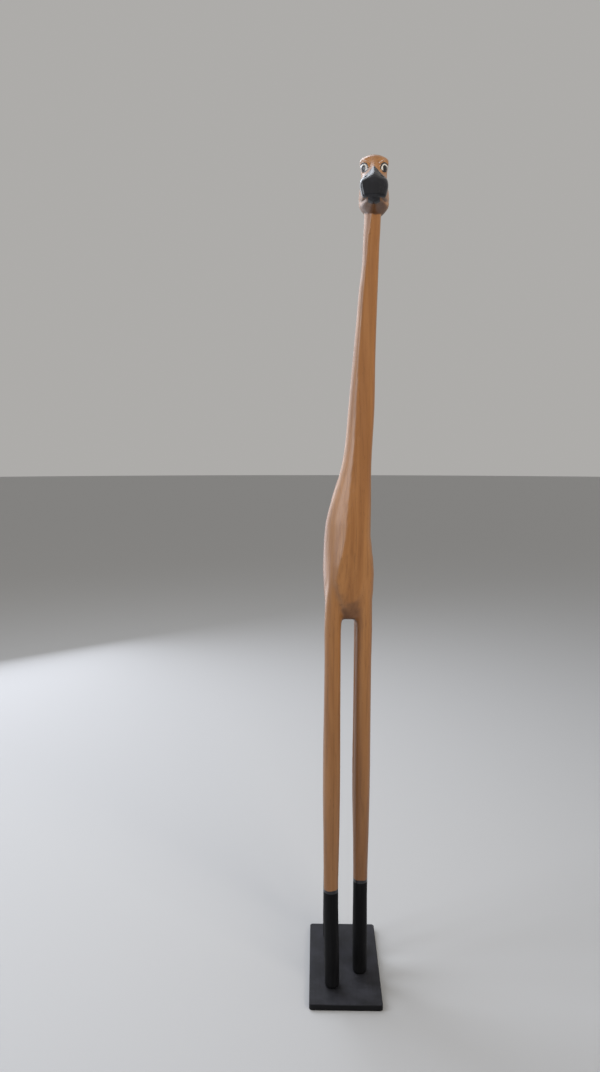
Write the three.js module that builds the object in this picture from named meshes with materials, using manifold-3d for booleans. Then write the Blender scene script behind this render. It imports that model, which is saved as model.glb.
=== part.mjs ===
// A tall, slim camel carved in one piece of wood, walking, on a thin painted board.
// Millimetres, +Z up. The camel looks along -Y, and +X is on the right of someone facing it.
// The origin is the middle of the board's underside, on the floor.

import * as THREE from 'three';
import { mergeVertices } from 'three/addons/utils/BufferGeometryUtils.js';
import Module from 'manifold-3d';

// Driving dimensions
const HEIGHT = 1800;
const BOARD_WIDTH = 160;
const BOARD_DEPTH = 300;
const BOARD_THICK = 14;
const BOARD_CORNER = 6;
const BOARD_EDGE = 1.2;
const SEAT_GAP = 0.3;

const FORK_HEIGHT = 847;
const BODY_WIDTH = 110;
const BODY_LENGTH = 242;
const HUMP_HEIGHT = 1182;
const NECK_FOOT = 1160;
const JAW_HEIGHT = 1690;
const LEG_WIDTH = 36;
const HEAD_X = 49;
const HEAD_TURN = 0.065;
const EYE_BACK = 53;
const NOSE_Y = -150;
const BODY_X = 4;

// Fineness of the facets
const LEG_SIDES = 14;
const LEG_RINGS = 17;
const NECK_SIDES = 30;
const NECK_RINGS = 30;
const TORSO_SIDES = 26;
const TORSO_RINGS = 24;
const HEAD_SIDES = 36;
const HEAD_RINGS = 20;

const wasm = await Module();
wasm.setup();

// A closed body through rings of equally many points, with a fan over each end.
function loft(rings) {
  const sides = rings[0].length;
  const positions = [];
  const index = [];
  for (const ring of rings) {
    for (const point of ring) {
      positions.push(point.x, point.y, point.z);
    }
  }
  for (let ring = 0; ring < rings.length - 1; ring += 1) {
    for (let side = 0; side < sides; side += 1) {
      const next = (side + 1) % sides;
      const here = ring * sides;
      const there = here + sides;
      index.push(here + side, here + next, there + next);
      index.push(here + side, there + next, there + side);
    }
  }
  for (const end of [0, rings.length - 1]) {
    const middle = new THREE.Vector3();
    for (const point of rings[end]) {
      middle.addScaledVector(point, 1 / sides);
    }
    const hub = positions.length / 3;
    positions.push(middle.x, middle.y, middle.z);
    for (let side = 0; side < sides; side += 1) {
      const a = end * sides + side;
      const b = end * sides + ((side + 1) % sides);
      if (end === 0) {
        index.push(hub, b, a);
      } else {
        index.push(hub, a, b);
      }
    }
  }
  const geometry = new THREE.BufferGeometry();
  geometry.setAttribute('position', new THREE.Float32BufferAttribute(positions, 3));
  geometry.setIndex(index);
  return geometry;
}

// Signed volume of a closed geometry, negative when its faces point inwards.
function signedVolume(geometry) {
  const place = geometry.getAttribute('position');
  const index = geometry.getIndex();
  const corner = [new THREE.Vector3(), new THREE.Vector3(), new THREE.Vector3()];
  let volume = 0;
  for (let face = 0; face < index.count; face += 3) {
    corner.forEach((vector, i) => vector.fromBufferAttribute(place, index.getX(face + i)));
    volume += corner[0].dot(corner[1].clone().cross(corner[2])) / 6;
  }
  return volume;
}

// A closed geometry as a solid that can be joined and cut.
function solid(source) {
  const bare = new THREE.BufferGeometry();
  bare.setAttribute('position', source.getAttribute('position'));
  bare.setIndex(source.getIndex());
  const geometry = mergeVertices(bare, 1e-4);
  const triangles = Uint32Array.from(geometry.getIndex().array);
  if (signedVolume(geometry) < 0) {
    for (let face = 0; face < triangles.length; face += 3) {
      [triangles[face + 1], triangles[face + 2]] = [triangles[face + 2], triangles[face + 1]];
    }
  }
  const vertProperties = Float32Array.from(geometry.getAttribute('position').array);
  return new wasm.Manifold(new wasm.Mesh({ numProp: 3, vertProperties, triVerts: triangles }));
}

// A solid as a named mesh with its own material.
function namedMesh(name, body, material) {
  const mesh = body.getMesh();
  const geometry = new THREE.BufferGeometry();
  geometry.setAttribute('position', new THREE.Float32BufferAttribute(mesh.vertProperties, 3));
  geometry.setIndex(new THREE.Uint32BufferAttribute(mesh.triVerts, 1));
  geometry.computeVertexNormals();
  const result = new THREE.Mesh(geometry, material);
  result.name = name;
  return result;
}

// Every named number of a few stations, run smoothly through all of them. A crowd of 0 gives even
// steps, and a crowd of 1 packs them towards both ends, where a body rounds off.
function between(stations, along, steps, crowd = 0) {
  const names = Object.keys(stations[0]);
  const places = stations.map((station) => station[along]);
  const values = stations.flatMap((station) => names.map((name) => station[name]));
  const smooth = new THREE.CubicInterpolant(places, values, names.length);
  const first = places[0];
  const last = places[places.length - 1];
  return Array.from({ length: steps }, (_, step) => {
    const even = step / (steps - 1);
    const packed = 0.5 - 0.5 * Math.cos(Math.PI * even);
    const at = THREE.MathUtils.lerp(first, last, THREE.MathUtils.lerp(even, packed, crowd));
    const row = smooth.evaluate(at);
    return Object.fromEntries(names.map((name, i) => [name, row[i]]));
  });
}

// A closed round through a few corners, each [x, y, z], with equally many points between corners.
function roundThrough(corners, count) {
  const points = corners.map(([x, y, z]) => new THREE.Vector3(x, y, z));
  return new THREE.CatmullRomCurve3(points, true, 'centripetal').getPoints(count).slice(0, count);
}

// The neck and chest: a keel runs down the front, left of the middle, between a narrow facet on
// the left and a wide flat one on the right, and the back is round.
function neckRing({ z, left, right, keel, front, back }) {
  const width = right - left;
  const depth = back - front;
  const facet = right - 0.09 * width;
  const rise = 0.2 * depth;
  return roundThrough([
    [keel, front, z],
    [keel + 0.1 * (facet - keel), front + 0.1 * rise, z],
    [facet, front + rise, z],
    [right, front + 0.36 * depth, z],
    [right - 0.03 * width, front + 0.64 * depth, z],
    [right - 0.24 * width, back - 0.07 * depth, z],
    [(left + right) / 2, back, z],
    [left + 0.24 * width, back - 0.07 * depth, z],
    [left + 0.03 * width, front + 0.66 * depth, z],
    [left, front + 0.42 * depth, z],
    [left + 0.42 * (keel - left), front + 0.17 * depth, z],
    [keel - 0.1 * (keel - left), front + 0.03 * depth, z],
  ], NECK_SIDES);
}

function neckAndChest() {
  const neck = JAW_HEIGHT - NECK_FOOT;
  const chest = NECK_FOOT - FORK_HEIGHT;
  const station = (z, left, right, keel, front, back) => ({ z, left, right, keel, front, back });
  const stations = [
    station(FORK_HEIGHT - 4, -30, 38, 3, -72, -46),
    station(FORK_HEIGHT + 0.03 * chest, -42, 48, 0, -85, -28),
    station(FORK_HEIGHT + 0.11 * chest, -47, 53, -8, -99, -8),
    station(FORK_HEIGHT + 0.27 * chest, -50, 56, -23, -112, 12),
    station(FORK_HEIGHT + 0.44 * chest, -50, 52, -11, -118, 16),
    station(FORK_HEIGHT + 0.57 * chest, -48, 48, -2, -119, 12),
    station(FORK_HEIGHT + 0.69 * chest, -43.5, 48.5, 1, -117, 2),
    station(FORK_HEIGHT + 0.85 * chest, -29, 48.5, 5.5, -111, -14),
    station(NECK_FOOT, -15.5, 48, 9.5, -105, -24),
    station(NECK_FOOT + 0.08 * neck, -7.5, 49.5, 13.5, -101, -28),
    station(NECK_FOOT + 0.24 * neck, 0, 54, 17.5, -94, -32),
    station(NECK_FOOT + 0.46 * neck, 10, 55.5, 21.5, -88, -34),
    station(NECK_FOOT + 0.58 * neck, 15.5, 57, 25, -87, -37),
    station(NECK_FOOT + 0.7 * neck, 20.5, 58.5, 30, -88, -40),
    station(NECK_FOOT + 0.8 * neck, 27, 60, 34.5, -90, -43),
    station(NECK_FOOT + 0.88 * neck, 28, 61, 38, -92, -44),
    station(NECK_FOOT + 0.95 * neck, 30, 63, 43, -94, -40),
    station(JAW_HEIGHT + 20, 31, 65, 47, -86, -30),
  ];
  return solid(loft(between(stations, 'z', NECK_RINGS).map(neckRing)));
}

// The trunk, from behind the shoulders over the hump to the rump: wide and round below, and
// narrowing upwards to the hump's ridge.
function torsoRing({ y, half, low, wide, high }) {
  return Array.from({ length: TORSO_SIDES }, (_, side) => {
    const angle = (side / TORSO_SIDES) * 2 * Math.PI;
    const across = Math.cos(angle);
    const up = Math.sin(angle);
    const reach = up > 0 ? high - wide : wide - low;
    const fullness = up > 0 ? 1.5 : 0.86;
    const x = BODY_X + half * Math.sign(across) * Math.abs(across) ** fullness;
    return new THREE.Vector3(x, y, wide + reach * up);
  });
}

function torso() {
  const belly = FORK_HEIGHT + 3;
  const widest = FORK_HEIGHT + 92;
  const back = HUMP_HEIGHT - 78;
  const rump = BODY_LENGTH / 2;
  const full = BODY_WIDTH / 2;
  const stations = [
    { y: -rump + 22, half: 0.5 * full, low: belly + 34, wide: widest + 30, high: back - 34 },
    { y: -rump + 42, half: 0.88 * full, low: belly + 8, wide: widest + 8, high: back - 20 },
    { y: -rump + 78, half: 0.97 * full, low: belly, wide: widest, high: back - 4 },
    { y: -14, half: 0.99 * full, low: belly + 1, wide: widest, high: back + 16 },
    { y: 6, half: full, low: belly + 4, wide: widest, high: HUMP_HEIGHT - 22 },
    { y: 20, half: full, low: belly + 6, wide: widest, high: HUMP_HEIGHT - 3 },
    { y: 34, half: full, low: belly + 8, wide: widest, high: HUMP_HEIGHT - 1 },
    { y: 50, half: 0.99 * full, low: belly + 11, wide: widest, high: HUMP_HEIGHT - 20 },
    { y: 76, half: 0.95 * full, low: belly + 16, wide: widest + 6, high: back - 4 },
    { y: rump - 24, half: 0.84 * full, low: belly + 22, wide: widest + 16, high: back - 38 },
    { y: rump - 8, half: 0.58 * full, low: belly + 38, wide: widest + 26, high: back - 70 },
    { y: rump, half: 0.2 * full, low: belly + 70, wide: widest + 36, high: back - 112 },
  ];
  return solid(loft(between(stations, 'y', TORSO_RINGS, 0.4).map(torsoRing)));
}

// A leg: a round post with a slight knee, spreading at the top into the shoulder or the thigh.
function legRing({ z, x, y, across, along }) {
  return Array.from({ length: LEG_SIDES }, (_, side) => {
    const angle = (side / LEG_SIDES) * 2 * Math.PI;
    return new THREE.Vector3(x + across * Math.cos(angle), y + along * Math.sin(angle), z);
  });
}

// Foot, shin and top are the leg's middle [x, y] on the board, at the shin and at the fork.
function leg({ foot, shin, top, slim, bend, reach }) {
  const ground = BOARD_THICK + SEAT_GAP;
  const length = FORK_HEIGHT - ground;
  const shinPart = 0.27;
  const full = 0.52 * LEG_WIDTH;
  const station = (part, across, along, set) => {
    const low = part < shinPart;
    const share = low ? part / shinPart : (part - shinPart) / (1 - shinPart);
    const [from, to] = low ? [foot, shin] : [shin, top];
    const x = THREE.MathUtils.lerp(from[0], to[0], share);
    return {
      z: ground + part * length,
      x: THREE.MathUtils.lerp(x, BODY_X, 1.5 * Math.max(0, part - 1)),
      y: THREE.MathUtils.lerp(from[1], to[1], share) + set,
      across,
      along,
    };
  };
  const stations = [
    station(0, slim + 0.2, slim + 1, 0),
    station(0.03, slim + 0.9, slim + 1.8, 0),
    station(0.1, slim + 0.4, slim + 0.8, 0),
    station(0.27, slim, slim + 0.3, 0),
    station(0.42, full - 0.8, full - 0.4, 0.5 * bend),
    station(0.55, full, full + 1, bend),
    station(0.7, full - 0.5, full, 0.6 * bend),
    station(0.9, full - 1, full + 2, 0),
    station(1.0, full - 0.4, full + 0.28 * reach, 0),
    station(1.06, full + 0.8, full + 0.7 * reach, 0),
    station(1.12, full - 1, full + reach, 0),
    station(1.17, 0.55 * full, 0.7 * full + 0.6 * reach, 0),
    station(1.19, 0.2 * full, 0.4 * full, 0),
  ];
  return solid(loft(between(stations, 'z', LEG_RINGS).map(legRing)));
}

function legs() {
  const front = { slim: 0.45 * LEG_WIDTH, reach: 14, bend: -2 };
  const rear = { slim: 0.41 * LEG_WIDTH, reach: 24, bend: 5 };
  return [
    leg({ foot: [-29, -85], shin: [-32.5, -84], top: [-30.5, -72], ...front }),
    leg({ foot: [35, -34], shin: [34.5, -39], top: [36.5, -60], ...front }),
    leg({ foot: [-33, 92], shin: [-33, 90], top: [-28, 74], ...rear }),
    leg({ foot: [37, 46], shin: [37.5, 50], top: [39, 70], ...rear }),
  ];
}

// One half of a head outline, given from the ridge on top down to the keel below, then mirrored.
// The head is turned a little, so its middle moves sideways from the nape to the nose.
function headMiddle(back) {
  return HEAD_X + HEAD_TURN * (back - 78);
}

function headRing(corners, back) {
  const y = NOSE_Y + back;
  const middle = headMiddle(back);
  const rightSide = corners.map(([x, z]) => [middle + x, y, z]);
  const leftSide = corners.slice(1, -1).reverse().map(([x, z]) => [middle - x, y, z]);
  return roundThrough([...rightSide, ...leftSide], HEAD_SIDES);
}

// The skull and upper muzzle. Heights are measured down from the crown and places back from the
// nose. The muzzle is shaped like a house end: a ridge, two sloping planes and upright sides.
// Peak says how far down the slope bends: about 0.45 on the muzzle, less on the rounder skull.
function skullRing({ back, peak, ridge, roof, roofDown, waist, waistDown, jowl, floorDown }) {
  return headRing([
    [0, HEIGHT - ridge],
    [0.5 * roof, HEIGHT - ridge - peak * (roofDown - ridge)],
    [roof, HEIGHT - roofDown],
    [waist, HEIGHT - waistDown],
    [jowl, HEIGHT - floorDown + 12],
    [0.85 * jowl, HEIGHT - floorDown + 1],
    [0, HEIGHT - floorDown],
  ], back);
}

function skull() {
  const station = (back, peak, ridge, roof, roofDown, waist, waistDown, jowl, floorDown) => (
    { back, peak, ridge, roof, roofDown, waist, waistDown, jowl, floorDown }
  );
  const stations = [
    station(0, 0.4, 78, 8, 81, 10, 85, 10, 101),
    station(3, 0.42, 69, 18, 75, 22, 82, 20, 104),
    station(10, 0.45, 60, 23.5, 71, 27, 81, 25, 105.5),
    station(24, 0.45, 48, 24.5, 65, 27.5, 78, 26, 105.5),
    station(40, 0.42, 34, 21, 52, 24.5, 67, 28, 104),
    station(50, 0.34, 24, 20, 38, 23.5, 55, 29, 103),
    station(62, 0.24, 9, 28, 21, 24, 46, 30, 102),
    station(78, 0.2, 1, 28, 13, 25, 46, 31, 101),
    station(94, 0.2, 0, 24.5, 12, 26, 47, 29.5, 100),
    station(112, 0.22, 5, 20.5, 18, 23, 47, 23, 93),
    station(124, 0.25, 15, 14.5, 26, 16.5, 48, 15, 82),
    station(130, 0.3, 26, 8, 34, 9, 48, 8, 70),
    station(133, 0.3, 40, 3, 44, 3.5, 49, 3, 62),
  ];
  return solid(loft(between(stations, 'back', HEAD_RINGS, 0.6).map(skullRing)));
}

// The lower jaw: narrow at the chin, wide at the cheeks, keeled below where it meets the throat.
function jawRing({ back, half, top, corner, keel }) {
  return headRing([
    [0, HEIGHT - top],
    [0.85 * half, HEIGHT - top - 1],
    [half, HEIGHT - corner],
    [0.55 * half, HEIGHT - 0.35 * corner - 0.65 * keel],
    [0, HEIGHT - keel],
  ], back);
}

function jaw() {
  const stations = [
    { back: 5, half: 7, top: 102, corner: 105, keel: 108 },
    { back: 9, half: 12, top: 100, corner: 107, keel: 113 },
    { back: 30, half: 19, top: 98, corner: 107, keel: 115 },
    { back: 55, half: 26, top: 92, corner: 105, keel: 120 },
    { back: 78, half: 30.5, top: 86, corner: 101, keel: 126 },
    { back: 96, half: 27, top: 86, corner: 101, keel: 125 },
    { back: 112, half: 14, top: 90, corner: 98, keel: 110 },
  ];
  return solid(loft(between(stations, 'back', HEAD_RINGS - 6, 0.5).map(jawRing)));
}

// A ball stretched to half sizes [length, width, thickness], lying along one direction and facing
// another. Used for eyes, brows, nostrils and ears.
function pebble({ at, size, along, facing, fine = 12 }) {
  const length = new THREE.Vector3(...along).normalize();
  const width = new THREE.Vector3(...facing).cross(length).normalize();
  const thickness = length.clone().cross(width);
  const geometry = new THREE.SphereGeometry(1, fine, Math.round(fine * 0.6));
  geometry.scale(...size);
  geometry.applyMatrix4(new THREE.Matrix4().makeBasis(length, width, thickness));
  geometry.translate(...at);
  return solid(geometry);
}

// Eyes in shallow sockets under slanting brows, small laid-back ears and slanting nostrils, on both
// sides. The sockets are cut first and the eyes are set in them afterwards.
function headFeatures() {
  const sockets = [];
  const raised = [];
  const nostrils = [];
  for (const side of [-1, 1]) {
    const along = [side * 0.6, 0.64, 0.48];
    const facing = [side * 0.75, -0.66, 0.1];
    const place = (out, back, down) => [headMiddle(back) + side * out, NOSE_Y + back, HEIGHT - down];
    sockets.push(pebble({ at: place(25.5, 51, 37), size: [17, 11, 6], along, facing, fine: 16 }));
    raised.push(pebble({ at: place(18, 54.5, 35), size: [13, 8.5, 5.5], along, facing }));
    raised.push(pebble({ at: place(17.5, 56, 23), size: [14, 3, 4], along, facing }));
    raised.push(pebble({
      at: place(20.5, 103, 13),
      size: [15, 7.5, 4.5],
      along: [side * 0.35, 0.9, -0.25],
      facing: [side, -0.3, 0.3],
    }));
    nostrils.push(pebble({
      at: place(16.5, 15, 63.5),
      size: [5, 2.6, 3],
      along: [side * -0.55, 0.35, 0.6],
      facing: [side * 0.6, -0.5, 0.6],
    }));
  }
  return { sockets, raised, nostrils };
}

// The tail lies flat down the middle of the rump, and ends between the thighs.
function tail() {
  const rump = BODY_LENGTH / 2;
  const root = HUMP_HEIGHT - 140;
  const stations = [
    { z: FORK_HEIGHT + 24, x: BODY_X + 4, y: rump - 22, across: 5, along: 5 },
    { z: FORK_HEIGHT + 44, x: BODY_X + 4, y: rump - 10, across: 8, along: 6.5 },
    { z: FORK_HEIGHT + 78, x: BODY_X + 3, y: rump + 1, across: 6.5, along: 6 },
    { z: FORK_HEIGHT + 130, x: BODY_X + 1, y: rump + 2, across: 6, along: 6 },
    { z: root, x: BODY_X, y: rump - 10, across: 8, along: 8 },
    { z: root + 24, x: BODY_X, y: rump - 26, across: 6, along: 6 },
  ];
  return solid(loft(between(stations, 'z', 14).map(legRing)));
}

function camel() {
  const { sockets, raised, nostrils } = headFeatures();
  let head = skull();
  for (const socket of sockets) {
    head = head.subtract(socket);
  }
  for (const piece of [jaw(), ...raised]) {
    head = head.add(piece);
  }
  for (const nostril of nostrils) {
    head = head.subtract(nostril);
  }
  let body = neckAndChest();
  for (const piece of [torso(), ...legs(), tail(), head]) {
    body = body.add(piece);
  }
  return body;
}

// The board: a flat plank with small round corners and softened top and bottom edges.
function board() {
  const w = BOARD_WIDTH / 2 - BOARD_EDGE;
  const d = BOARD_DEPTH / 2 - BOARD_EDGE;
  const r = BOARD_CORNER;
  const outline = new THREE.Shape();
  outline.moveTo(-w + r, -d);
  outline.lineTo(w - r, -d);
  outline.absarc(w - r, -d + r, r, -Math.PI / 2, 0, false);
  outline.lineTo(w, d - r);
  outline.absarc(w - r, d - r, r, 0, Math.PI / 2, false);
  outline.lineTo(-w + r, d);
  outline.absarc(-w + r, d - r, r, Math.PI / 2, Math.PI, false);
  outline.lineTo(-w, -d + r);
  outline.absarc(-w + r, -d + r, r, Math.PI, 1.5 * Math.PI, false);
  const geometry = new THREE.ExtrudeGeometry(outline, {
    depth: BOARD_THICK - 2 * BOARD_EDGE,
    bevelEnabled: true,
    bevelThickness: BOARD_EDGE,
    bevelSize: BOARD_EDGE,
    bevelSegments: 1,
    curveSegments: 5,
  });
  geometry.translate(0, 0, BOARD_EDGE);
  return solid(geometry);
}

const varnishedWood = new THREE.MeshStandardMaterial({
  color: 0x9a6b43,
  roughness: 0.42,
  metalness: 0,
});
const blackPaint = new THREE.MeshStandardMaterial({
  color: 0x2c2c31,
  roughness: 0.6,
  metalness: 0,
});

const statue = new THREE.Group();
statue.add(namedMesh('camel', camel(), varnishedWood));
statue.add(namedMesh('plinth', board(), blackPaint));

export default statue;
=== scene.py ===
# %% [markdown]
# # A tall carved camel on a black board
# The real object is a slim camel, carved from one log and varnished, with black paint on the lower
# legs and the muzzle. It stands on a thin black board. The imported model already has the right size
# and pose, so the script loads it first, and everything below is fitted to it.

# %% Open the frame
import math

import bmesh
import bpy
from mathutils import Matrix, Vector


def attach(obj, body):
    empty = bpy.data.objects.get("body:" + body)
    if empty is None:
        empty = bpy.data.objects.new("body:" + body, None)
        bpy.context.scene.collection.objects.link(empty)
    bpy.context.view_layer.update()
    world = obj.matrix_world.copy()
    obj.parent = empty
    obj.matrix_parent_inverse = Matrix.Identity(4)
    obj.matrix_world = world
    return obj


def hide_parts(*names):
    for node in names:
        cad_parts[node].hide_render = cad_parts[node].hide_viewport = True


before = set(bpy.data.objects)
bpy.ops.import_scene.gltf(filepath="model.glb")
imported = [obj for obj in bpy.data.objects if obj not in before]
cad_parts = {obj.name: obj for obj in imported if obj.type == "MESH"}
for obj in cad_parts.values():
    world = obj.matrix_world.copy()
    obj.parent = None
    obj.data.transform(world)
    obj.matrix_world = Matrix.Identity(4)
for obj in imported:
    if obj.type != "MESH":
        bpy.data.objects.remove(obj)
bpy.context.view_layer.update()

# %% [markdown]
# ## Small helpers
# Blender's operators act on whatever is selected, so most slips come from a stale selection. The
# first helper selects one object and nothing else. The others apply a modifier, cut at a height,
# and measure a mesh, and each step below prints its measurement.

# %% Select, modify, cut and measure
def only(piece):
    bpy.ops.object.select_all(action="DESELECT")
    piece.select_set(True)
    bpy.context.view_layer.objects.active = piece


def apply_modifier(piece, kind, **settings):
    only(piece)
    modifier = piece.modifiers.new(kind, kind)
    for name, value in settings.items():
        setattr(modifier, name, value)
    bpy.ops.object.modifier_apply(modifier=modifier.name)


def cut_level(piece, height, keep, cap):
    only(piece)
    bpy.ops.object.mode_set(mode="EDIT")
    bpy.ops.mesh.select_all(action="SELECT")
    bpy.ops.mesh.bisect(
        plane_co=(0, 0, height), plane_no=(0, 0, 1), use_fill=cap,
        clear_outer=keep == "below", clear_inner=keep == "above",
    )
    bpy.ops.object.mode_set(mode="OBJECT")


def measure(piece):
    mesh = bmesh.new()
    mesh.from_mesh(piece.data)
    triangles = sum(len(face.verts) - 2 for face in mesh.faces)
    gaps = sum(1 for edge in mesh.edges if len(edge.link_faces) != 2)
    litres = mesh.calc_volume() * 1000
    mesh.free()
    print(f"{piece.name}: {triangles} triangles, {gaps} open edges, {litres:.3f} litres")


# %% [markdown]
# ## The carving: start from the solid
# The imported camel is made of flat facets. A copy of it keeps the pose and the outline exactly, which
# a fresh block of polygons would only come near. Its triangles arrive loose, so their shared corners
# are merged first.

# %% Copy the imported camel
def copy_of(node, name):
    piece = bpy.data.objects.new(name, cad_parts[node].data.copy())
    bpy.context.collection.objects.link(piece)
    only(piece)
    bpy.ops.mesh.customdata_custom_splitnormals_clear()
    bpy.ops.object.mode_set(mode="EDIT")
    bpy.ops.mesh.select_all(action="SELECT")
    bpy.ops.mesh.remove_doubles(threshold=0.00002)
    bpy.ops.object.mode_set(mode="OBJECT")
    return piece


camel = copy_of("camel", "camel_carving")
measure(camel)

# %% [markdown]
# ## The head needs a finer mesh than the body
# One even mesh fine enough for the eyelids would spend most of its faces on the long plain legs. So
# the head is a second copy, cut off at the top of the neck, where the section is plainest, and
# capped to keep it a closed volume.

# %% Cut a head from a second copy
HEAD_JOIN = 1.640

head = copy_of("camel", "head_part")
cut_level(head, HEAD_JOIN - 0.02, keep="above", cap=True)
measure(head)

# %% [markdown]
# ## Carve the face
# Small parts of a carving are easiest to shape from simple bodies that are fused with the head or
# cut out of it. A stretched ball, turned to lie along one direction and face another, makes a lid,
# an ear hollow or a nostril. The head is turned a little, so its middle plane leans, and places on
# the face are counted from that plane.

# %% Stretched balls on the head
FACE_MIDDLE = 0.05368
FACE_TURN = 0.065
EYE_ALONG = (0.6, 0.64, 0.48)
EYE_FACING = (0.75, -0.66, 0.1)
EYE_PLACE = (0.018, -0.0955, 1.765)


def on_face(side, out, y, z):
    return Vector((FACE_MIDDLE + FACE_TURN * y + side * out, y, z))


def turned(side, direction):
    return Vector((side * direction[0], direction[1], direction[2]))


def lay(piece, place, size, along, facing):
    length = along.normalized()
    width = facing.cross(length).normalized()
    basis = Matrix((length, width, length.cross(width))).transposed().to_4x4()
    piece.matrix_world = Matrix.Translation(place) @ basis @ Matrix.Diagonal((*size, 1))
    only(piece)
    bpy.ops.object.transform_apply(location=True, rotation=True, scale=True)
    return piece


def ball(place, size, along, facing):
    bpy.ops.object.select_all(action="DESELECT")
    bpy.ops.mesh.primitive_uv_sphere_add(segments=32, ring_count=16, radius=1)
    return lay(bpy.context.active_object, place, size, along, facing)


# %% [markdown]
# Each eye gets a raised lid, which is a ring squashed to the eye's outline. The ring only has to
# overlap the head: the remesh that comes later makes one skin of them.

# %% Eyelids, nostrils and ear hollows
def fuse(piece, addition):
    only(piece)
    addition.select_set(True)
    bpy.ops.object.join()


def carve(piece, cutter):
    apply_modifier(piece, "BOOLEAN", operation="DIFFERENCE", object=cutter, solver="EXACT")
    bpy.data.objects.remove(cutter)


for side in (-1, 1):
    along, facing = turned(side, EYE_ALONG), turned(side, EYE_FACING)
    nostril_along = turned(side, (-0.55, 0.35, 0.6))
    nostril_facing = turned(side, (0.6, -0.5, 0.6))
    carve(head, ball(on_face(side, 0.0165, -0.135, 1.7365), (0.0056, 0.0026, 0.004), nostril_along, nostril_facing))
    carve(head, ball(on_face(side, 0.0235, -0.050, 1.7885), (0.0105, 0.0035, 0.0035), turned(side, (0.35, 0.9, -0.25)), turned(side, (1, -0.3, 0.3))))
    bpy.ops.object.select_all(action="DESELECT")
    bpy.ops.mesh.primitive_torus_add(major_radius=1, minor_radius=0.13, major_segments=40, minor_segments=10)
    lid_facing = turned(side, (0.72, -0.62, -0.32))
    lid = lay(bpy.context.active_object, on_face(side, *EYE_PLACE) + 0.0004 * facing, (0.0138, 0.0088, 0.011), along, lid_facing)
    fuse(head, lid)
measure(head)

# %% [markdown]
# ## From facets to a sanded surface
# A voxel remesh wraps a volume in small even squares, so the joints between legs and body flow
# together. It has to be fine at first, or a crisp edge such as the keel of the neck comes out as a
# saw. Smoothing then rounds the facets off like sandpaper. It also takes a little girth off the thin
# legs, which a displacement along the normals puts back, before a coarser remesh saves faces.

# %% Remesh and sand the body
def remesh(piece, size):
    apply_modifier(piece, "REMESH", mode="VOXEL", voxel_size=size, adaptivity=0)


def sand(piece, passes, lost, only_group=""):
    apply_modifier(piece, "SMOOTH", factor=0.5, iterations=passes, vertex_group=only_group)
    apply_modifier(piece, "DISPLACE", strength=lost, mid_level=0, vertex_group=only_group)


remesh(camel, 0.0018)
sand(camel, 24, 0.00035)
remesh(camel, 0.0039)
sand(camel, 2, 0.0001)
measure(camel)

# %% [markdown]
# The head keeps its carved edges, so it is only lightly sanded. Its stub of neck gets as much
# sanding as the body, through a vertex group that fades out towards the jaw. Without that, the two
# keels wouldn't meet.

# %% Remesh and sand the head
def group_below(piece, name, full, none):
    group = piece.vertex_groups.new(name=name)
    for corner in piece.data.vertices:
        share = (none - corner.co.z) / (none - full)
        if share > 0:
            group.add([corner.index], min(share, 1), "REPLACE")


remesh(head, 0.0013)
group_below(head, "neck_stub", HEAD_JOIN + 0.01, HEAD_JOIN + 0.035)
sand(head, 34, 0.0003, "neck_stub")
sand(head, 3, 0.00005)
measure(head)

# %% [markdown]
# ## Put the head back
# Both meshes are opened at the same level and joined, and the two open rings are bridged. The strip
# between them is a millimetre high and follows the neck, so it doesn't show.

# %% Bridge head and body
cut_level(head, HEAD_JOIN + 0.0006, keep="above", cap=False)
cut_level(camel, HEAD_JOIN - 0.0006, keep="below", cap=False)
only(camel)
head.select_set(True)
bpy.ops.object.join()
bpy.ops.object.mode_set(mode="EDIT")
bpy.ops.mesh.select_mode(type="EDGE")
bpy.ops.mesh.select_all(action="DESELECT")
bpy.ops.mesh.select_non_manifold(
    extend=False, use_wire=False, use_boundary=True,
    use_multi_face=False, use_non_contiguous=False, use_verts=False,
)
bpy.ops.mesh.bridge_edge_loops()
bpy.ops.mesh.select_all(action="SELECT")
bpy.ops.mesh.normals_make_consistent(inside=False)
bpy.ops.object.mode_set(mode="OBJECT")
bpy.ops.object.shade_smooth()
measure(camel)

# %% [markdown]
# ## Helpers for materials
# A finish here is a small graph of nodes. One helper makes a node with its settings and plugs its
# inputs, one does arithmetic and one mixes two colours, so that each recipe below reads as a list
# of steps.

# %% Node helpers
def new_material(name):
    made = bpy.data.materials.new(name)
    made.use_nodes = True
    return made, made.node_tree, made.node_tree.nodes["Principled BSDF"]


def plug(tree, value, socket):
    if isinstance(value, bpy.types.NodeSocket):
        tree.links.new(value, socket)
    else:
        socket.default_value = value


def node(tree, kind, settings=None, **inputs):
    made = tree.nodes.new(kind)
    for name, value in (settings or {}).items():
        setattr(made, name, value)
    for name, value in inputs.items():
        plug(tree, value, made.inputs[name.replace("_", " ")])
    return made.outputs[0]


def sums(tree, operation, *values):
    made = tree.nodes.new("ShaderNodeMath")
    made.operation = operation
    for value, socket in zip(values, made.inputs):
        plug(tree, value, socket)
    return made.outputs[0]


def mix(tree, share, first, second, blend="MIX"):
    made = tree.nodes.new("ShaderNodeMix")
    made.data_type = "RGBA"
    made.blend_type = blend
    plug(tree, share, made.inputs[0])
    plug(tree, first, made.inputs[6])
    plug(tree, second, made.inputs[7])
    return made.outputs[2]


def mix_value(tree, share, first, second):
    made = tree.nodes.new("ShaderNodeMix")
    plug(tree, share, made.inputs[0])
    plug(tree, first, made.inputs[2])
    plug(tree, second, made.inputs[3])
    return made.outputs[0]


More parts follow.
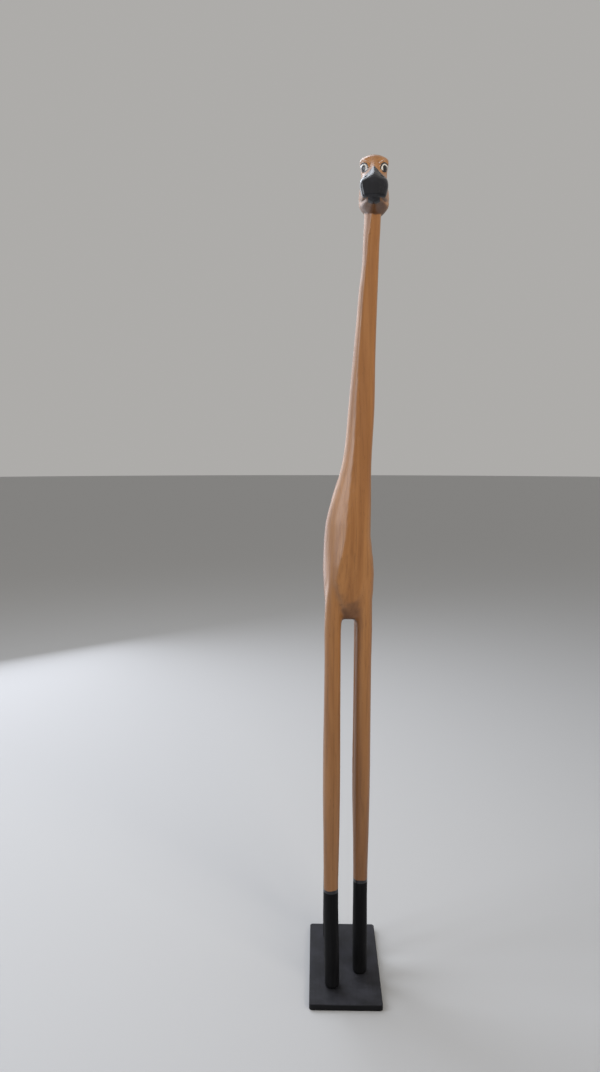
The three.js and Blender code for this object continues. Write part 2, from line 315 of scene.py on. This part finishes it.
def ramp(tree, value, low, high, to_low=0.0, to_high=1.0):
    return node(
        tree, "ShaderNodeMapRange", {"interpolation_type": "SMOOTHSTEP"},
        Value=value, From_Min=low, From_Max=high, To_Min=to_low, To_Max=to_high,
    )


def object_place(tree):
    return tree.nodes.new("ShaderNodeTexCoord").outputs["Object"]


def parts_of(tree, place):
    return node(tree, "ShaderNodeSeparateXYZ", Vector=place).node.outputs


def stretched(tree, place, scale, turn=(0, 0, 0)):
    return node(tree, "ShaderNodeMapping", Vector=place, Scale=scale, Rotation=turn)


def noise(tree, place, detail=4, roughness=0.55, distortion=0.0):
    return node(
        tree, "ShaderNodeTexNoise", Vector=place, Scale=1.0,
        Detail=detail, Roughness=roughness, Distortion=distortion,
    )


print("node helpers ready")

# %% [markdown]
# ## Varnished wood, and the paint on it
# The log's grain runs up through the legs and the neck. Each pattern is therefore a noise squeezed
# hard across the grain and hardly along it: broad brown bands, fine streaks and short dark pores.
# The varnish is satin, so a thin clear coat lies over the wood.

# %% Wood colour and grain
def wood_grain(tree, place):
    bands = noise(tree, stretched(tree, place, (26, 26, 1.6)), 3, 0.5, 0.6)
    streaks = noise(tree, stretched(tree, place, (190, 190, 5)), 5, 0.6)
    pores = noise(tree, stretched(tree, place, (900, 900, 45)), 2, 0.5)
    return bands, streaks, pores


def wood_colour_and_shade(tree, place):
    bands, streaks, pores = wood_grain(tree, place)
    colour = mix(tree, ramp(tree, bands, 0.35, 0.68), (0.36, 0.165, 0.055, 1), (0.26, 0.108, 0.032, 1))
    colour = mix(tree, ramp(tree, streaks, 0.45, 0.75, 0, 0.5), colour, (0.15, 0.06, 0.018, 1))
    colour = mix(tree, ramp(tree, pores, 0.66, 0.74, 0, 0.5), colour, (0.05, 0.02, 0.007, 1))
    # The wood is made darker towards the feet, from the chest down to the stockings.
    low = ramp(tree, parts_of(tree, place)["Z"], 0.95, 0.25, 0, 0.35)
    colour = mix(tree, low, colour, (0.1, 0.04, 0.013, 1))
    # Painted shade: faces that turn downwards, under the jaw and the chest, are made darker where shade falls under
    # them.
    facing = parts_of(tree, tree.nodes.new("ShaderNodeNewGeometry").outputs["Normal"])["Z"]
    colour = mix(tree, ramp(tree, facing, -0.15, -0.85, 0, 0.75), colour, (0.06, 0.024, 0.012, 1))
    return colour, streaks, pores


# %% [markdown]
# ## Where the black paint lies
# The paint edges are drawn in the material from the piece's own coordinates, because an edge drawn
# along faces would be jagged. A brushed edge is never quite straight, so a little noise is added to
# the place before it is compared.

# %% Stocking and muzzle edges
STOCKING_TOP = 0.2435


def stocking_mask(tree, place):
    wave = noise(tree, stretched(tree, place, (60, 60, 20)), 2)
    wavy = sums(tree, "MULTIPLY_ADD", wave, 0.007, parts_of(tree, place)["Z"])
    return ramp(tree, wavy, STOCKING_TOP + 0.0038, STOCKING_TOP + 0.0032)


def face_place(tree, place):
    parts = parts_of(tree, place)
    middle = sums(tree, "MULTIPLY_ADD", parts["Y"], FACE_TURN, FACE_MIDDLE)
    out = sums(tree, "ABSOLUTE", sums(tree, "SUBTRACT", parts["X"], middle))
    return node(tree, "ShaderNodeCombineXYZ", X=out, Y=parts["Y"], Z=parts["Z"])


def muzzle_mask(tree, place):
    parts = parts_of(tree, face_place(tree, place))
    wave = noise(tree, stretched(tree, place, (90, 90, 90)), 2)
    wavy = sums(tree, "MULTIPLY_ADD", wave, 0.003, -0.0015)
    lean = sums(tree, "MULTIPLY_ADD", parts["Z"], -0.43, sums(tree, "ADD", parts["Y"], wavy))
    front = ramp(tree, lean, -0.8668, -0.8673)
    gable = sums(tree, "MULTIPLY_ADD", parts["X"], 1.25, sums(tree, "ADD", parts["Z"], wavy))
    below_gable = ramp(tree, gable, 1.7640, 1.7634)
    upper = ramp(tree, parts["Z"], 1.6940, 1.6946)
    lip = sums(
        tree, "MULTIPLY",
        ramp(tree, parts["X"], 0.0125, 0.0115),
        ramp(tree, parts["Y"], -0.1300, -0.1310),
    )
    snout = sums(tree, "MULTIPLY", sums(tree, "MULTIPLY", front, below_gable), upper)
    high = ramp(tree, parts["Z"], 1.60, 1.61)
    return sums(tree, "MULTIPLY", sums(tree, "MAXIMUM", snout, lip), high)


# %% [markdown]
# ## Painted eyes
# The face is folded at its middle plane, so one drawing serves both eyes. Three dot products turn
# the place into the eye's own length, height and depth, and an almond is where a parabola over the
# length stays above the height.

# %% Eye masks
def eye_frame(tree, place):
    length = Vector(EYE_ALONG).normalized()
    height = Vector(EYE_FACING).cross(length).normalized()
    depth = length.cross(height)
    away = node(
        tree, "ShaderNodeVectorMath", {"operation": "SUBTRACT"},
    ).node
    plug(tree, face_place(tree, place), away.inputs[0])
    away.inputs[1].default_value = EYE_PLACE
    measured = []
    for axis in (length, height, depth):
        along = tree.nodes.new("ShaderNodeVectorMath")
        along.operation = "DOT_PRODUCT"
        plug(tree, away.outputs[0], along.inputs[0])
        along.inputs[1].default_value = axis
        measured.append(along.outputs["Value"])
    return measured


def almond(tree, length, height, half_length, half_height):
    across = sums(tree, "DIVIDE", length, half_length)
    room = sums(tree, "MULTIPLY_ADD", sums(tree, "MULTIPLY", across, across), -half_height, half_height)
    gap = sums(tree, "SUBTRACT", room, sums(tree, "ABSOLUTE", height))
    return ramp(tree, gap, 0.0, 0.0005)


def disc(tree, length, height, at_length, at_height, radius):
    a = sums(tree, "SUBTRACT", length, at_length)
    b = sums(tree, "SUBTRACT", height, at_height)
    reach = sums(tree, "SQRT", sums(tree, "MULTIPLY_ADD", a, a, sums(tree, "MULTIPLY", b, b)))
    return ramp(tree, reach, radius, radius - 0.0005)


# %% Varnished wood with its paint
def varnished_wood():
    made, tree, shader = new_material("varnished_wood")
    place = object_place(tree)
    colour, streaks, pores = wood_colour_and_shade(tree, place)
    length, height, depth = eye_frame(tree, place)
    on_side = ramp(tree, depth, -0.012, -0.010)
    outline = sums(tree, "MULTIPLY", on_side, almond(tree, length, height, 0.0158, 0.0098))
    white = sums(tree, "MULTIPLY", on_side, almond(tree, length, height, 0.0122, 0.0066))
    pupil = disc(tree, length, height, -0.0005, -0.0022, 0.0066)
    colour = mix(tree, outline, colour, (0.012, 0.010, 0.012, 1))
    colour = mix(tree, white, colour, (0.6, 0.57, 0.53, 1))
    colour = mix(tree, sums(tree, "MULTIPLY", white, pupil), colour, (0.010, 0.008, 0.010, 1))
    black = sums(tree, "MAXIMUM", stocking_mask(tree, place), muzzle_mask(tree, place))
    dust = noise(tree, stretched(tree, place, (35, 35, 12)), 4)
    paint = mix(tree, ramp(tree, dust, 0.4, 0.75), (0.004, 0.004, 0.006, 1), (0.010, 0.010, 0.015, 1))
    plug(tree, mix(tree, black, colour, paint), shader.inputs["Base Color"])
    wood_rough = ramp(tree, streaks, 0.3, 0.8, 0.36, 0.5)
    painted = sums(tree, "MAXIMUM", black, outline)
    plug(tree, mix_value(tree, painted, wood_rough, 0.3), shader.inputs["Roughness"])
    shader.inputs["Coat Weight"].default_value = 0.2
    shader.inputs["Coat Roughness"].default_value = 0.25
    relief_height = sums(tree, "MULTIPLY_ADD", pores, -0.3, streaks)
    relief = node(tree, "ShaderNodeBump", Strength=0.12, Distance=0.0006, Height=relief_height)
    plug(tree, relief, shader.inputs["Normal"])
    return made


# %% [markdown]
# ## Dull black below the stockings' edge
# The paint on the legs is dull, where the muzzle's is glossy. Gloss is set once for a whole
# material, so the faces below the wavy edge get a material of their own.

# %% Dull black paint
def leg_paint():
    made, tree, shader = new_material("leg_paint")
    place = object_place(tree)
    brush = noise(tree, stretched(tree, place, (160, 160, 14)), 4, 0.6)
    dust = ramp(tree, parts_of(tree, place)["Z"], 0.06, 0.015)
    colour = mix(tree, ramp(tree, brush, 0.45, 0.75), (0.0025, 0.0025, 0.003, 1), (0.006, 0.006, 0.007, 1))
    colour = mix(tree, sums(tree, "MULTIPLY", dust, 0.3), colour, (0.02, 0.02, 0.022, 1))
    plug(tree, colour, shader.inputs["Base Color"])
    shader.inputs["Roughness"].default_value = 0.62
    shader.inputs["Specular IOR Level"].default_value = 0.15
    relief = node(tree, "ShaderNodeBump", Strength=0.15, Distance=0.0004, Height=brush)
    plug(tree, relief, shader.inputs["Normal"])
    return made


camel.data.materials.clear()
camel.data.materials.append(varnished_wood())
camel.data.materials.append(leg_paint())
painted = [face for face in camel.data.polygons if face.center.z < STOCKING_TOP - 0.006]
for face in painted:
    face.material_index = 1
print(len(painted), "faces of the stockings")
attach(camel, "root")
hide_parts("camel")
print("camel dressed")

# %% [markdown]
# ## The board
# The board is a plain thin plank, painted black and a little dusty on top, and its sides are made darker
# than its top as painted shade. Its shape is right in the imported model, so that node stays and only gets a
# finish.

# %% Black board
def black_board():
    made, tree, shader = new_material("black_board")
    place = object_place(tree)
    brush = noise(tree, stretched(tree, place, (220, 9, 220)), 5, 0.6)
    dust = noise(tree, stretched(tree, place, (24, 24, 24)), 5, 0.6)
    colour = mix(tree, ramp(tree, dust, 0.35, 0.7), (0.018, 0.018, 0.021, 1), (0.034, 0.034, 0.041, 1))
    colour = mix(tree, ramp(tree, brush, 0.5, 0.8, 0, 0.4), colour, (0.012, 0.012, 0.014, 1))
    # Painted shade: the board's sides are made near black, darker than its dusty top.
    facing = parts_of(tree, tree.nodes.new("ShaderNodeNewGeometry").outputs["Normal"])["Z"]
    colour = mix(tree, ramp(tree, facing, 0.4, 0.9), (0.004, 0.004, 0.005, 1), colour)
    plug(tree, colour, shader.inputs["Base Color"])
    shader.inputs["Specular IOR Level"].default_value = 0.2
    plug(tree, ramp(tree, dust, 0.3, 0.75, 0.5, 0.68), shader.inputs["Roughness"])
    relief = node(tree, "ShaderNodeBump", Strength=0.2, Distance=0.0005, Height=brush)
    plug(tree, relief, shader.inputs["Normal"])
    return made


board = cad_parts["plinth"]
board.data.materials.clear()
board.data.materials.append(black_board())
print("board finished")

# %% [markdown]
# ## Floor and light
# A large pale floor and a pale sky stand in for a studio. A wide cool window light from the left
# gives the bright edges on the flank and the muzzle, and a warmer one from the front right fills
# the flat side of the neck.

# %% Floor
only(camel)
bpy.ops.object.select_all(action="DESELECT")
bpy.ops.mesh.primitive_circle_add(vertices=96, radius=40, fill_type="NGON", location=(0, 0, 0))
floor = bpy.context.active_object
floor.name = "studio_floor"
floor_paint, floor_tree, floor_shader = new_material("studio_floor")
floor_shader.inputs["Base Color"].default_value = (0.5, 0.5, 0.5, 1)
floor_shader.inputs["Roughness"].default_value = 0.9
floor.data.materials.append(floor_paint)

# %% Lights
def soft_light(name, place, aim, size, power, colour):
    bpy.ops.object.light_add(type="AREA", location=place)
    lamp = bpy.context.active_object
    lamp.name = name
    lamp.rotation_mode = "QUATERNION"
    lamp.rotation_quaternion = (Vector(aim) - Vector(place)).to_track_quat("-Z", "Y")
    lamp.data.shape = "RECTANGLE"
    lamp.data.size, lamp.data.size_y = size
    lamp.data.energy = power
    lamp.data.color = colour
    lamp.visible_camera = False
    return lamp


soft_light("window_left", (-2.6, -0.6, 2.0), (0, 0, 1.3), (1.4, 2.2), 42, (0.86, 0.91, 1.0))
soft_light("window_behind_left", (-2.0, 2.2, 2.0), (0, 0, 1.5), (2.4, 3.6), 60, (0.86, 0.9, 1.0))
soft_light("skylight", (-1.1, 1.7, 4.0), (0, 0, 1.6), (2.4, 2.4), 60, (0.84, 0.9, 1.0))
fill = soft_light("fill_right", (1.6, -2.4, 2.3), (0.05, 0, 1.5), (1.6, 1.6), 14, (1.0, 0.93, 0.82))
fill.data.spread = math.radians(75)
fill.visible_glossy = False

world = bpy.data.worlds.new("pale_studio")
world.use_nodes = True
world.node_tree.nodes["Background"].inputs["Color"].default_value = (1.0, 0.98, 0.95, 1)
world.node_tree.nodes["Background"].inputs["Strength"].default_value = 0.42
bpy.context.scene.world = world
bpy.context.scene.view_settings.view_transform = "Standard"
print("studio lit")

# %% [markdown]
# ## The camera
# The photograph was read as a pinhole camera: its height, distance and tilt come from the board's
# edges, the feet and the crown.

# %% Camera at the photograph's angle
CAMERA_PLACE = (-0.0646, -1.7632, 1.2014)
CAMERA_YAW = math.radians(-1.237)
CAMERA_PITCH = math.radians(-6.0)

bpy.ops.object.camera_add(location=CAMERA_PLACE)
camera = bpy.context.active_object
look = Vector((
    math.sin(CAMERA_YAW) * math.cos(CAMERA_PITCH),
    math.cos(CAMERA_YAW) * math.cos(CAMERA_PITCH),
    math.sin(CAMERA_PITCH),
))
camera.rotation_mode = "QUATERNION"
camera.rotation_quaternion = look.to_track_quat("-Z", "Y")
camera.data.sensor_fit = "HORIZONTAL"
camera.data.sensor_width = 36
camera.data.lens = 48
bpy.context.scene.camera = camera
print("camera looks along", tuple(round(part, 4) for part in look))
